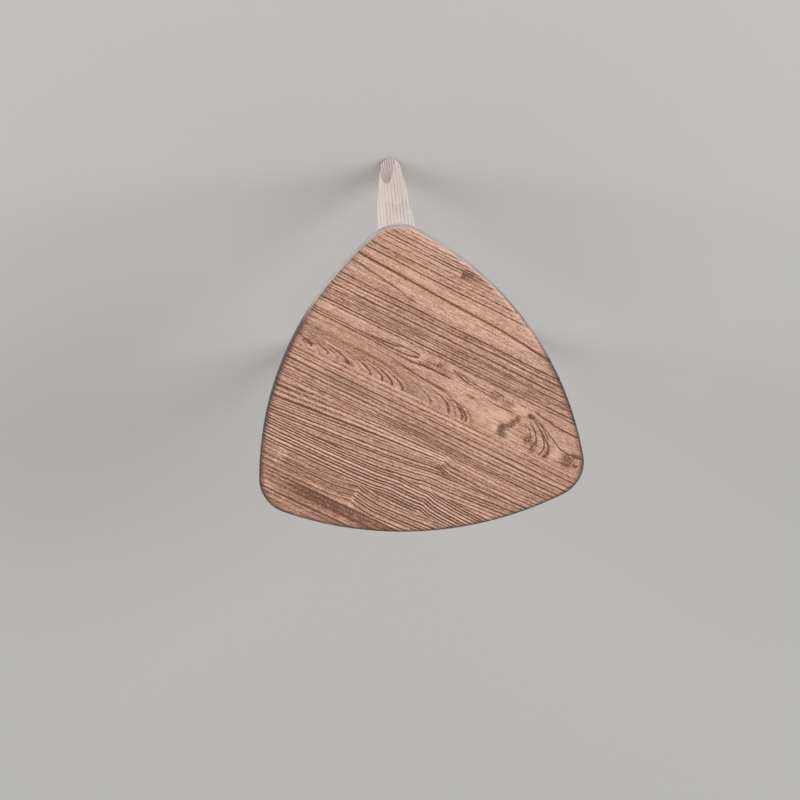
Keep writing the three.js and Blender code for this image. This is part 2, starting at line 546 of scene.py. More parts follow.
inserts = {}
for corner in corner_names:
    name = "threaded_insert_" + corner
    low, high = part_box(name)
    middle = box_middle(name)
    middle.z = 0
    flange_top = low.z + insert_flange
    outside = height_steps(flange_top, high.z, barrel_pitch / thread_steps)
    inside = height_steps(low.z, high.z, machine_pitch / thread_steps)
    profile = [(insert_bore, low.z), (insert_flange_radius, low.z), (insert_flange_radius, flange_top)]
    profile += [(insert_radius, height) for height in outside]
    profile += [(insert_bore, height) for height in inside[::-1]]
    insert = turned("brass_insert_" + corner, profile, middle, hardware_segments)
    ends = (barrel_pitch, barrel_pitch)
    cut_thread(insert, middle, insert_radius, flange_top, high.z, barrel_pitch, barrel_depth, ends)
    cut_thread(insert, middle, insert_bore, low.z, high.z, machine_pitch, machine_depth, (0, 0))
    smooth_faces(insert, thread_angle)
    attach(insert, "root")
    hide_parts(name)
    inserts[corner] = insert
print("threaded insert:", len(insert.data.polygons), "faces")

# %% [markdown]
# ## The felt pads
#
# A pad is a punched disc of pressed felt, 3 mm thick, whose rim is soft. It is a turned disc with a
# rounded rim.

# %% Make the pads
pad_radius = 10 * MM
pad_ease = 0.8 * MM

pads = {}
for corner in corner_names:
    name = "felt_pad_" + corner
    low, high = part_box(name)
    profile = [(0, low.z), (pad_radius, low.z), (pad_radius, high.z), (0, high.z)]
    pad = turned("pressed_" + name, profile, box_middle(name), hardware_segments)
    apply_modifier(pad, "BEVEL", width=pad_ease, segments=ease_steps, limit_method="ANGLE")
    smooth_faces(pad)
    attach(pad, "root")
    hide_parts(name)
    pads[corner] = pad
print("pad:", len(pad.data.polygons), "faces")

# %% [markdown]
# ## Materials
#
# Every material starts as an empty node tree. One small function adds a node, sets it and links its
# inputs, and another turns an sRGB hex value, as a paint program shows it, to the linear values that
# the shader works in.

# %% Tools for materials
def colour(hex_value):
    """An sRGB hex value as linear red, green, blue and alpha, by the sRGB standard's own curve."""
    linear = []
    for shift in (16, 8, 0):
        value = (hex_value >> shift & 255) / 255
        linear.append(value / 12.92 if value <= 0.04045 else ((value + 0.055) / 1.055) ** 2.4)
    return (*linear, 1)


def add(tree, kind, inputs=(), **settings):
    """Add a node with its settings, and set or link its inputs, which are named or in order.

    A node that is given as an input stands for its first output.
    """
    node = tree.nodes.new("ShaderNode" + kind)
    for name, value in settings.items():
        setattr(node, name, value)
    for name, value in inputs.items() if isinstance(inputs, dict) else enumerate(inputs):
        if isinstance(value, bpy.types.Node):
            value = value.outputs[0]
        if isinstance(value, bpy.types.NodeSocket):
            tree.links.new(value, node.inputs[name])
        else:
            node.inputs[name].default_value = value
    return node


def new_material(name):
    """A material with an empty node tree and its output."""
    material = bpy.data.materials.new(name)
    material.use_nodes = True
    tree = material.node_tree
    tree.nodes.clear()
    return material, tree, add(tree, "OutputMaterial")


def set_ramp(node, stops):
    """Give a Color Ramp its stops, as (place, hex value) pairs."""
    elements = node.color_ramp.elements
    while len(elements) > 1:
        elements.remove(elements[-1])
    for i, (place, value) in enumerate(stops):
        element = elements[0] if i == 0 else elements.new(place)
        element.position = place
        element.color = colour(value)


def set_curve(node, points, handle="VECTOR"):
    """Give a Float Curve its points, as (input, output) pairs in rising order."""
    curve = node.mapping.curves[0]
    while len(curve.points) > 2:
        curve.points.remove(curve.points[1])
    curve.points[0].location = points[0]
    curve.points[1].location = points[-1]
    for point in points[1:-1]:
        curve.points.new(*point)
    for point in curve.points:
        point.handle_type = handle
    node.mapping.update()


def give(piece, material):
    """Make one material the only one on a piece."""
    piece.data.materials.clear()
    piece.data.materials.append(material)


print("a middle grey, 0x808080, is", round(colour(0x808080)[0], 3), "in linear light")

# %% [markdown]
# ## Brushed, stained softwood
#
# Softwood grows soft pale wood in spring and hard dark wood in late summer. A wire brush opens the
# grain, and the red-brown stain sinks into the open lines, so the eye sees fine dark grooves, broken
# into beads, on a warm and mottled ground. Each board has its own lines. They could come from one noise
# for all boards, but then no board would look like a real one beside its neighbour. So each board's
# main lines are written as places across it, in millimetres from the table's axis, and noise bends
# them, breaks them and fills the space between them with finer lines of the same kind.

# %% Tools for grain
# half of a line's width in mm, the share of it that is fully dark, and the least step along a curve
line_width = 0.95
line_core_share = 0.35
least_step = 0.001
noise_roughness = 0.6

# a seed moves the noise by this much along, across and through the board
seed_steps = (7.3, 3.1, 1)


def millimetres(tree, origin):
    """Object coordinates in mm from a place in the frame."""
    coordinates = add(tree, "TexCoord")
    scale = (1 / MM, 1 / MM, 1 / MM)
    location = [-value / MM for value in origin]
    return add(
        tree, "Mapping", {"Vector": coordinates.outputs["Object"], "Scale": scale, "Location": location}
    )


def grain_noise(tree, place, grain, seed, reach, detail=2):
    """Noise of the given size in mm along, across and through the board, from -reach to reach."""
    scale = [1 / size for size in grain]
    location = [seed * step for step in seed_steps]
    mapped = add(tree, "Mapping", {"Vector": place, "Scale": scale, "Location": location})
    noise = add(
        tree, "TexNoise",
        {"Vector": mapped, "Scale": 1, "Detail": detail, "Roughness": noise_roughness},
    )
    return add(tree, "MapRange", {"Value": noise, "To Min": -reach, "To Max": reach})


def line_curve(tree, value, span, lines, width=line_width):
    """Dark lines at the given places of a value, as (place, strength) pairs."""
    low, high = span
    reach = high - low
    place = add(tree, "MapRange", {"Value": value, "From Min": low, "From Max": high})
    curve = add(tree, "FloatCurve", {"Value": place})
    points = [(0, 0)]
    core = width * line_core_share
    for y, strength in sorted(lines):
        for offset, share in ((-width, 0), (-core, 1), (core, 1), (width, 0)):
            x = (y + offset - low) / reach
            if points[-1][0] + least_step < x < 1 - least_step:
                points.append((x, min(1, strength * share)))
    points.append((1, 0))
    set_curve(curve, points)
    return curve


def total(tree, values):
    """The sum of several values."""
    result = values[0]
    for value in values[1:]:
        result = add(tree, "Math", [result, value], operation="ADD")
    return result


print("grain lines are", 2 * line_width, "mm wide at their foot")

# %% Tools for single marks
patch_depth = 40
streak_end = 0.01
streak_margin = 1


def patch(tree, place, middle, radii, soft):
    """1 inside an ellipse on the face, falling to 0 across its soft rim."""
    size = (*radii, patch_depth)
    location = (-middle[0] / size[0], -middle[1] / size[1], 0)
    scale = [1 / value for value in size]
    mapped = add(tree, "Mapping", {"Vector": place, "Scale": scale, "Location": location})
    distance = add(tree, "VectorMath", [mapped], operation="LENGTH")
    return add(
        tree, "MapRange",
        {"Value": distance.outputs["Value"], "From Min": 1 + soft, "From Max": 1 - soft},
        interpolation_type="SMOOTHSTEP",
    )


def streak(tree, along, across, points, width):
    """A dark line through (along, across, strength) points in rising order."""
    low, high = points[0][0], points[-1][0]
    bottom = min(point[1] for point in points) - streak_margin
    top = max(point[1] for point in points) + streak_margin
    share = add(tree, "MapRange", {"Value": along, "From Min": low, "From Max": high})
    line = add(tree, "FloatCurve", {"Value": share})
    force = add(tree, "FloatCurve", {"Value": share})
    places = [(point[0] - low) / (high - low) for point in points]
    heights = [(point[1] - bottom) / (top - bottom) for point in points]
    set_curve(line, list(zip(places, heights)), "AUTO")

    # the strength drops to nothing at both ends, because a curve holds its end value beyond them
    forces = [(at, point[2]) for at, point in zip(places, points)]
    forces[0] = (streak_end, points[0][2])
    forces[-1] = (1 - streak_end, points[-1][2])
    set_curve(force, [(0, 0), *forces, (1, 0)])
    height = add(tree, "MapRange", {"Value": line, "To Min": bottom, "To Max": top})
    offset = add(tree, "Math", [across, height], operation="SUBTRACT")
    distance = add(tree, "Math", [offset], operation="ABSOLUTE")
    fall = add(
        tree, "MapRange", {"Value": distance, "From Min": width, "From Max": 0},
        interpolation_type="SMOOTHSTEP",
    )
    return add(tree, "Math", [fall, force], operation="MULTIPLY")


# %% [markdown]
# ## The rim
#
# The rim is darker than the face, partly from stain that gathers where the rounded rim cuts across the
# grain and partly from painted shade where the rounding turns away from the light. At the back left
# corner a grey, streaky painted reflection lies on the rim, and along the back right side a pale painted
# highlight. All of this follows the outline, so the material works out how far a point lies inside it.
# The outline's three wide arcs are circles, and the smooth minimum of the distances to them rounds the
# corners off.

# %% Distance from the rim
def rim_distance(tree, place):
    """How far a point lies inside the outline, in mm."""
    flat = add(tree, "VectorMath", [place, (1, 1, 0)], operation="MULTIPLY")
    nearest = None
    for centre in side_centres:
        middle = [value / MM for value in centre - axis]
        away = add(tree, "VectorMath", [flat, middle], operation="DISTANCE")
        inside = add(tree, "Math", [side_radius / MM, away.outputs["Value"]], operation="SUBTRACT")
        if nearest is None:
            nearest = inside
        else:
            softness = corner_radius / MM
            nearest = add(tree, "Math", [nearest, inside, softness], operation="SMOOTH_MIN")
    return nearest


for centre in side_centres:
    offset = centre - axis
    print("a side's arc is centred", round(offset.x / MM), round(offset.y / MM), "mm from the axis")

# %% Stain, painted shade and a painted highlight on the rim
# the rim darkens over this width towards this colour, partly stain and partly painted shade
rim_darkening_width = 5.8
rim_stain_and_shade = 0x706862

# the painted highlight on the back right side lies in an ellipse on the face,
# given by its middle, its radii and its softness
painted_highlight_patch = ((0, 128), (104, 42), 0.3)
painted_highlight_colour = 0xF0D0BF

# under the painted highlight, stain and painted shade are left only low on the wall: their two heights
# below the face, and their most
darkening_under_highlight = (-8, -13, 0.8)

# the painted highlight is a pale band along the rim, at two places along x: its middle, its half width
# and its share of the pale colour
painted_highlight_band = ((10, -3.4, 5, 0.72), (50, 0.8, 3, 0.26))

# under the painted reflection, this share of the stain and painted shade stays out
reflection_keeps_off_darkening = 0.5


def painted_highlight_share(tree, x, z, inside):
    """Share of the painted highlight in a band along the rim, which climbs from the wall to the rounding."""
    (first_x, *first), (last_x, *last) = painted_highlight_band
    middle, half_width, most = [
        add(
            tree, "MapRange",
            {"Value": x, "From Min": first_x, "From Max": last_x, "To Min": start, "To Max": end},
        )
        for start, end in zip(first, last)
    ]
    climb = add(tree, "Math", [inside, z], operation="ADD")
    off_middle = add(tree, "Math", [climb, middle], operation="SUBTRACT")
    off = add(tree, "Math", [off_middle], operation="ABSOLUTE")
    return add(
        tree, "MapRange", {"Value": off, "From Min": half_width, "From Max": 0, "To Max": most},
        interpolation_type="SMOOTHSTEP",
    )


def stained_and_shaded_rim(tree, x, z, inside, wood, reflection_here, highlight_here):
    """Darken the rim with stain and painted shade, less under the reflection, and paint a highlight."""
    darkened = add(
        tree, "MapRange", {"Value": inside, "From Min": rim_darkening_width, "From Max": 0},
        interpolation_type="SMOOTHSTEP",
    )
    kept = add(tree, "Math", [reflection_here, -reflection_keeps_off_darkening, 1], operation="MULTIPLY_ADD")
    less_darkened = add(tree, "Math", [darkened, kept], operation="MULTIPLY")
    low_from, low_to, low_most = darkening_under_highlight
    low = add(tree, "MapRange", {"Value": z, "From Min": low_from, "From Max": low_to, "To Max": low_most})
    darkening_share = add(tree, "Mix", {"Factor": highlight_here, "A": less_darkened, "B": low})
    darker = add(
        tree, "Mix",
        {"Factor": darkening_share.outputs["Result"], "A": wood, "B": colour(rim_stain_and_shade)},
        data_type="RGBA", blend_type="MULTIPLY",
    )
    # paint the pale highlight along the back right rim
    highlighted = add(tree, "Math", [painted_highlight_share(tree, x, z, inside), highlight_here], operation="MULTIPLY")
    paler = add(
        tree, "Mix", {"Factor": highlighted, "A": darker.outputs["Result"], "B": colour(painted_highlight_colour)},
        data_type="RGBA",
    )
    return paler.outputs["Result"]


print("the rim is stained over", rim_darkening_width, "mm")

# %% Painted reflection on the rim
# the painted reflection at the back left corner is an ellipse too, with grey streaks; it starts on the
# rounding and is full on the wall
painted_reflection_patch = ((-85, 100), (110, 72), 0.25)
reflection_below = (1.5, 4.5)
painted_reflection_stops = [(0, 0xE0D8D3), (0.4, 0xCAC0BA), (0.7, 0xA6988F), (1, 0x7A6B64)]
reflection_grain, reflection_reach, reflection_detail = (16, 16, 1.1), 1.3, 3

# noise runs about zero, and a ramp from 0 to 1
ramp_middle = 0.5


def finish_rim(tree, place, x, z, wood, seed):
    """Paint stain, shade, a highlight and a reflection on the rim. Also gives how far points lie inside the
    outline.
    """
    inside = rim_distance(tree, place)
    reflection_here = patch(tree, place, *painted_reflection_patch)
    highlight_here = patch(tree, place, *painted_highlight_patch)
    darkened = stained_and_shaded_rim(tree, x, z, inside, wood, reflection_here, highlight_here)

    # grey streaks of the painted reflection
    streaks = grain_noise(tree, place, reflection_grain, seed, reflection_reach, reflection_detail)
    streak_share = add(tree, "Math", [streaks, ramp_middle], operation="ADD")
    reflection = add(tree, "ValToRGB", {"Fac": streak_share})
    set_ramp(reflection, painted_reflection_stops)
    edge = add(
        tree, "MapRange", {"Value": z, "From Min": -reflection_below[0], "From Max": -reflection_below[1]},
        interpolation_type="SMOOTHSTEP",
    )
    reflected = add(tree, "Math", [edge, reflection_here], operation="MULTIPLY")
    finished = add(tree, "Mix", {"Factor": reflected, "A": darkened, "B": reflection}, data_type="RGBA")
    return finished.outputs["Result"], inside


print("lime covers the wall from", reflection_below[1], "mm below the face")

# %% [markdown]
# ## One board
#
# A board's rings run along it, so its lines are level lines of the place across it. They drift, bend
# and jitter a little on the way. The dark lines come first, then finer fibres, and last the marks that
# make this board unlike the others: dark knots and stains, pale wood round a joint, and single streaks.

# %% The course of the rings
course_reach = 15
ring_slant = 1.0
bend_grain, bend_reach = (70, 14, 14), 1.2
jitter_grain, jitter_reach = (6, 2, 3), 0.5


def ring_course(tree, place, x, y, z, seed, drift, fan):
    """The place across the rings: y less the board's own drift, bent and jittered, and slanted below."""
    left, right = drift[0][0], drift[-1][0]
    along = add(tree, "MapRange", {"Value": x, "From Min": left, "From Max": right})
    course = add(tree, "FloatCurve", {"Value": along})
    drift_points = [
        ((at - left) / (right - left), (offset + course_reach) / (2 * course_reach))
        for at, offset in drift
    ]
    set_curve(course, drift_points, "AUTO")
    drop = add(tree, "MapRange", {"Value": course, "To Min": course_reach, "To Max": -course_reach})
    if fan:
        still, full, least = fan
        share = add(tree, "MapRange", {"Value": y, "From Min": still, "From Max": full, "To Min": least})
        drop = add(tree, "Math", [drop, share], operation="MULTIPLY")
    bend = grain_noise(tree, place, bend_grain, seed, bend_reach)
    jitter = grain_noise(tree, place, jitter_grain, seed + 1, jitter_reach)
    below = add(tree, "Math", [z, edge_rounding / MM], operation="ADD")
    depth = add(tree, "Math", [below, 0], operation="MINIMUM")
    slant = add(tree, "Math", [depth, ring_slant], operation="MULTIPLY")
    return total(tree, [y, drop, bend, jitter, slant]), jitter


print("rings bend by", bend_reach, "mm at most and jitter by", jitter_reach, "mm")

# %% Marks drawn one by one
speckle_grain, speckle_reach, speckle_detail = (1.8, 0.9, 1.5), 3, 3
streak_darkness, streak_speckle = 1.3, 0.5
swirl_centre = (104, 8)


def drawn_marks(tree, place, x, y, jitter, seed, patches, streaks, swirls):
    """Dark and pale marks drawn one by one. The dark ones are speckled as the open grain is."""
    speckle = grain_noise(tree, place, speckle_grain, seed + 4, speckle_reach, speckle_detail)
    speckled = add(tree, "Math", [speckle, 1], operation="ADD")
    fuzzy = add(tree, "Math", [speckled, 0], operation="MAXIMUM")
    marks = 0
    for middle, radii, soft, amount in patches:
        shape = patch(tree, place, middle, radii, soft)
        if amount > 0:
            shape = add(tree, "Math", [shape, fuzzy], operation="MULTIPLY")
        marks = add(tree, "Math", [shape, amount, marks], operation="MULTIPLY_ADD")
    wavy = add(tree, "Math", [y, jitter], operation="ADD")
    drawn = [streak(tree, x, wavy, *values) for values in streaks]
    if swirls:
        beside = add(tree, "Math", [x, swirl_centre[0]], operation="SUBTRACT")
        above = add(tree, "Math", [wavy, swirl_centre[1]], operation="SUBTRACT")
        angle = add(tree, "Math", [above, beside], operation="ARCTAN2")
        flat = add(tree, "CombineXYZ", [beside, above])
        distance = add(tree, "VectorMath", [flat], operation="LENGTH").outputs["Value"]
        drawn += [streak(tree, angle, distance, *values) for values in swirls]
    if drawn:
        broken = add(tree, "Math", [speckle, streak_speckle, streak_darkness], operation="MULTIPLY_ADD")
        marks = add(tree, "Math", [total(tree, drawn), broken, marks], operation="MULTIPLY_ADD")
    return marks


print("specks are", speckle_grain[0], "by", speckle_grain[1], "mm")

# %% How dark a board is
force_grain, force_reach = (30, 3, 8), 0.7
bead_grain, bead_reach, bead_detail = (2.4, 1.2, 2), 0.7, 1
usual_force = 0.8
line_darkness = 1.15

# painted shade: the ground is a little darker towards the right end of the table
right_shade_from, right_shade_to, painted_right_shade = 80, 160, 0.09

# fibres finer than half a millimetre wouldn't show at this size, so the finest are drawn that wide
fine_textures = [
    ((90, 0.8, 10), 0.65, 2),
    ((7, 0.5, 0.6), 0.85, 3),
    ((1.6, 0.9, 1), 0.6, 2),
    ((30, 6, 12), 0.15, 3),
]


def lines_and_fibres(tree, place, x, ring_place, drawn, seed, ground, depth):
    """The board's own dark lines on its ground, and the finer fibres between them, to be added up."""
    force = grain_noise(tree, place, force_grain, seed + 2, force_reach)
    beads = grain_noise(tree, place, bead_grain, seed + 3, bead_reach, bead_detail)
    strength = add(tree, "Math", [total(tree, [force, beads]), usual_force], operation="ADD")
    strong = add(tree, "Math", [drawn, strength], operation="MULTIPLY")
    dark_share = line_darkness * depth
    # painted shade towards the right end of the table
    shaded_ground = add(
        tree, "MapRange",
        {"Value": x, "From Min": right_shade_from, "From Max": right_shade_to, "To Min": ground,
         "To Max": ground + painted_right_shade},
    )
    parts = [add(tree, "Math", [strong, dark_share, shaded_ground], operation="MULTIPLY_ADD")]
    for i, (grain, reach, detail) in enumerate(fine_textures):
        base = ring_place if i == 0 else place
        parts.append(grain_noise(tree, base, grain, seed + 5 + i, reach, detail))
    return parts


print("the finest fibres are", min(grain[1] for grain, reach, detail in fine_textures), "mm wide")

# %% One board's material
stain_stops = [(0, 0xDEB6A2), (0.25, 0xC49883), (0.5, 0xA87B66), (0.75, 0x865944), (1, 0x623828)]
smudge_brown = 0x7E685C
groove_bump, groove_depth = 0.7, 0.3 * MM
lacquer_ior = 1.5
pale_roughness, dark_roughness = 0.42, 0.6
glossy_from, glossy_to, rim_gloss = 5, 3, 0.12
whole_length = ((-150, 0), (170, 0))


def board_wood(
    name, seed, ground, span=None, lines=(), depth=1, width=line_width, drift=whole_length, fan=None,
    patches=(), streaks=(), swirls=(), smudges=(), figure=None,
):
    """Brushed, stained softwood with one board's own lines."""
    material, tree, output = new_material("brushed_stained_softwood_" + name)
    place = millimetres(tree, axis + UP * face)
    x, y, z = add(tree, "SeparateXYZ", {"Vector": place}).outputs
    ring, jitter = ring_course(tree, place, x, y, z, seed, drift, fan)
    ring_place = add(tree, "CombineXYZ", [x, ring, z])
    drawn = figure(tree, x, ring) if figure else line_curve(tree, ring, span, lines, width)
    parts = lines_and_fibres(tree, place, x, ring_place, drawn, seed, ground, depth)
    marks = drawn_marks(tree, place, x, y, jitter, seed, patches, streaks, swirls)
    darkness = total(tree, [*parts, marks])
    ramp = add(tree, "ValToRGB", {"Fac": darkness})
    set_ramp(ramp, stain_stops)
    wood = ramp.outputs[0]
    for middle, radii, soft, share in smudges:
        shape = patch(tree, place, middle, radii, soft)
        amount = add(tree, "Math", [shape, share], operation="MULTIPLY")
        greyed = add(
            tree, "Mix", {"Factor": amount, "A": wood, "B": colour(smudge_brown)}, data_type="RGBA"
        )
        wood = greyed.outputs["Result"]
    finished, inside = finish_rim(tree, place, x, z, wood, seed)

    # open grain is dull, and lacquer runs glossier over the rounded rim
    bump = add(
        tree, "Bump", {"Height": darkness, "Strength": groove_bump, "Distance": groove_depth}, invert=True
    )
    dull = add(tree, "MapRange", {"Value": darkness, "To Min": pale_roughness, "To Max": dark_roughness})
    on_rim = add(
        tree, "MapRange",
        {"Value": inside, "From Min": glossy_from, "From Max": glossy_to, "To Max": rim_gloss},
    )
    rough = add(tree, "Math", [dull, on_rim], operation="SUBTRACT")
    shader = add(
        tree, "BsdfPrincipled",
        {"Base Color": finished, "Roughness": rough, "Normal": bump, "IOR": lacquer_ior},
    )
    tree.links.new(shader.outputs[0], output.inputs[0])
    return material


print("the ground runs from", pale_roughness, "rough to", dark_roughness, "in the grooves")

# %% [markdown]
# ## The boards' own lines
#
# The numbers below are places on the face in millimetres from the table's axis. A board's lines lie
# within its span, and each is a place across the board and its strength. The ground is how dark the
# board is between them, and the depth is how much darker they are than usual. A drift is how far the
# rings climb at places along the board. A fan is where across the board that climb is least, where it is
# full, and its least share. A patch is its middle, its radii, its softness and how much it darkens, and a
# smudge the same for how grey it is. Where two lengths meet in a finger joint the fibres end, so a narrow
# pale patch lies over the joint.

# %% Lines of boards 1 to 3
boards = {}
joint_glow = -0.22
faint_glow = -0.12
boards["01"] = dict(
    span=(-152, -114), ground=0.52,
    lines=[(-118.6, 0.8), (-122.5, 0.3), (-126.5, 0.5), (-128, 0.4), (-131, 0.2), (-135.2, 0.9),
           (-139, 0.3), (-143, 0.4)],
    patches=[((-35, -121.5), (70, 5.5), 0.9, 0.36), ((-60, -134), (30, 4), 0.6, 0.06),
             ((-86, -124), (20, 14), 0.8, -0.25)],
)
rising = ((-150, 0), (-50, 0), (-30, 0.6), (-20, 2), (-8, 4))
boards["02_a"] = dict(
    span=(-121, -89), ground=0.42, drift=rising,
    lines=[(-96, 0.4), (-99.5, 0.5), (-104.6, 0.8), (-109, 0.6), (-111, 0.4), (-114.5, 0.5)],
    patches=[((-87, -96), (4, 13), 0.9, faint_glow)],
)
boards["02_b"] = dict(
    span=(-121, -89), ground=0.42, drift=rising,
    lines=[(-96, 0.4), (-99.5, 0.5), (-101.5, 0.3), (-104.6, 0.9), (-107, 0.3), (-109, 0.7),
           (-111, 0.4), (-114.5, 0.5)],
    patches=[((-87, -96), (4, 13), 0.9, faint_glow), ((-8, -106), (1.6, 16), 0.5, joint_glow)],
)
boards["02_c"] = dict(
    span=(-121, -89), ground=0.33, depth=1.6, width=0.85,
    drift=((-8, 3), (0, 1.5), (10, 0.2), (30, 0), (60, 1.5), (100, 4)),
    lines=[(-93.6, 0.5), (-96.8, 0.6), (-99.3, 0.4), (-103, 1), (-105.6, 0.4), (-108.4, 0.9),
           (-111, 0.5), (-115.2, 0.7)],
    patches=[((-8, -106), (1.6, 16), 0.5, joint_glow), ((34, -92), (22, 2), 0.5, 0.4)],
)
bowed = (
    (-150, 0), (-60, 0), (-20, 1), (0, 2), (22, 4), (36, 3.8), (49, 4.3), (51, 4.6), (56, 3.6),
    (65, 1.6), (100, -0.5), (170, -1.5),
)
strong_rings = [
    (-69, 0.7), (-71.5, 0.8), (-74, 0.9), (-76.5, 0.9), (-80, 0.8), (-83, 1), (-85.5, 1), (-89, 1),
    (-91.6, 1), (-94.2, 0.8),
]
boards["03_a"] = dict(
    span=(-99, -64), ground=0.17, depth=2.5, width=0.82, drift=bowed, lines=strong_rings,
    patches=[((-87, -92), (4, 9), 0.9, faint_glow), ((34, -91), (22, 2), 0.5, 0.4)],
)
boards["03_b"] = dict(
    span=(-99, -64), ground=0.2, depth=2.8, width=0.82, drift=bowed, lines=strong_rings,
    patches=[((51, -82), (1, 10), 0.4, joint_glow)],
)
print("boards so far:", ", ".join(boards))

# %% Lines of boards 4 and 5
boards["04"] = dict(
    span=(-84, -20), ground=0.26, depth=1.45, fan=(-30, -50, 0.25),
    drift=((-150, -12), (-118, -9.5), (-60, -5), (0, 0), (30, 3.7), (50, 6.8), (60, 7), (125, 11.5),
           (170, 14)),
    lines=[(-27.5, 0.5), (-31, 0.5), (-33.8, 0.7), (-37, 0.4), (-40.5, 0.9), (-43.3, 0.4),
           (-45.8, 0.5), (-48.3, 0.3), (-50.9, 0.9), (-54.6, 0.7), (-57, 1), (-60, 0.3),
           (-63.3, 0.7), (-66.2, 0.4), (-69, 0.9), (-72.5, 0.5), (-76, 0.5)],
)
boards["05_a"] = dict(
    boards["04"], patches=[((50, -35), (1.5, 7), 0.3, joint_glow), ((50, -45), (5, 3.5), 0.6, 0.3),
                           ((20, -32), (60, 9), 0.7, -0.15)],
)
boards["05_b"] = dict(
    span=(-60, -22), ground=0.3, drift=((48, 3), (52, 2.2), (57, 0.7), (64, 0), (170, 0.6)),
    lines=[(-31.8, 0.6), (-35, 0.4), (-38.3, 0.7), (-42.6, 0.9), (-45.8, 0.7), (-48.2, 0.9)],
    patches=[((50, -35), (1.5, 7), 0.3, joint_glow), ((50, -45), (5, 3.5), 0.6, 0.3)],
)
print("boards so far:", ", ".join(boards))

# %% Lines of boards 6, 8, 9 and 10
boards["06"] = dict(
    span=(-35, 12), ground=0.31,
    lines=[(4, 0.4), (-0.3, 0.6), (-3.5, 0.3), (-6.1, 0.8), (-11.1, 0.9), (-14.5, 0.4), (-18, 0.9),
           (-21.7, 0.6), (-24, 0.4), (-26.2, 0.8), (-28.8, 0.5)],
    patches=[((10, -21), (24, 6), 0.6, 0.15), ((-62, -11), (22, 6), 0.6, 0.14)],
    smudges=[((10, -20), (22, 7), 0.8, 0.17), ((-62, -12), (24, 7), 0.8, 0.2)],
)
upper_rings = [
    (82.3, 1), (80, 0.3), (77, 1), (73.5, 0.25), (70, 1), (66.5, 0.3), (64.4, 0.9), (62.3, 0.3),
    (60, 0.5), (57, 0.3), (54.4, 0.8), (51.5, 0.5),
]
boards["08_a"] = dict(
    span=(48, 90), ground=0.33, lines=upper_rings,
    patches=[((-12, 62), (9, 10), 0.5, -0.1)],
    smudges=[((-45, 62), (34, 8), 0.7, 0.18)],
)
boards["08_b"] = dict(
    span=(48, 90), ground=0.38, lines=upper_rings,
    patches=[((-12, 62), (9, 10), 0.5, -0.1)],
    smudges=[((60, 60), (50, 8), 0.7, 0.12)],
)
boards["09"] = dict(
    span=(84, 130), ground=0.29,
    lines=[(126.8, 0.5), (123.5, 0.2), (120.7, 0.8), (117.5, 0.3), (114.3, 0.9)],
    streaks=[
        ([(-125, 106.5, 0.6), (-100, 105.5, 0.7), (-20, 102, 0.65), (35, 100, 0.6), (85, 95, 0.7),
          (110, 92, 0.5)], 1.9),
        ([(-125, 98.5, 0.45), (-110, 97, 0.45), (-80, 93.5, 0.4), (-45, 87.5, 0.3)], 1.7),
    ],
)
boards["10_a"] = dict(
    span=(124, 150), ground=0.21,
    lines=[(144.5, 0.4), (141, 0.5), (138.2, 0.7), (136, 0.3), (133.5, 0.9), (130.8, 0.6)],
)
boards["10_b"] = dict(
    span=(124, 150), ground=0.3,
    lines=[(141, 0.3), (138.2, 0.4), (135.5, 0.4), (133.5, 0.6), (130.8, 0.6)],
    patches=[((-20, 129), (3, 4), 0.8, 0.4), ((-16, 131), (6, 5), 0.8, 0.28),
             ((-8, 132), (12, 6), 0.8, 0.15)],
)
print("boards so far:", ", ".join(boards))

# %% [markdown]
# ## The figured board
#
# One stave was cut flat across the rings, so it shows half of a cathedral: nested arcs that end on its
# seam. Further along it grew round small branches, which left eyes and a swirl. The arcs are level
# lines of x plus a parabola of y. The field is steeper on an arc's flank than at its tip, so dividing by
# its steepness keeps each line equally thick. The swirl's lines are drawn by their angle and distance
# about a centre, and the other marks along the board.

# %% The field of the arcs
arc_seam = 7.5

# how wide the arcs open, by the place of the tip
arc_spread = [(-130, 1.6), (-95, 1.65), (-80, 1.8), (-50, 2.2), (-30, 2.4), (0, 2.7), (25, 3.2), (60, 3.2)]
spread_top = 4
wander_grain, wander_seed, wander_reach = (14, 5, 8), 3, 1.5


def arc_field(tree, x, ring):
    """A value that is level along an arc and tells the place of its tip, and how steep that value is."""
    low, high = arc_spread[0][0], arc_spread[-1][0]
    spread_points = [((at - low) / (high - low), value / spread_top) for at, value in arc_spread]
    flat = add(tree, "CombineXYZ", [x, ring])
    wander = grain_noise(tree, flat, wander_grain, wander_seed, wander_reach)
    bent_x = add(tree, "Math", [x, wander], operation="ADD")
    rise = add(tree, "Math", [ring, arc_seam], operation="SUBTRACT")
    share = add(tree, "MapRange", {"Value": bent_x, "From Min": low, "From Max": high})
    spread = add(tree, "FloatCurve", {"Value": share})
    set_curve(spread, spread_points, "AUTO")
    ratio = add(tree, "Math", [spread, spread_top], operation="MULTIPLY")
    slope = add(tree, "Math", [rise, ratio], operation="DIVIDE")
    square = add(tree, "Math", [slope, slope], operation="MULTIPLY")
    field = add(tree, "Math", [square, bent_x], operation="ADD")

    # the field climbs by 1 along x and by twice the lean across the board
    lean = add(tree, "Math", [slope, ratio], operation="DIVIDE")
    lean_square = add(tree, "Math", [lean, lean], operation="MULTIPLY")
    steep_square = add(tree, "Math", [lean_square, 4, 1], operation="MULTIPLY_ADD")
    return field, add(tree, "Math", [steep_square], operation="SQRT")


print("the arcs' tips lie", arc_seam, "mm behind the axis, on the board's front seam")

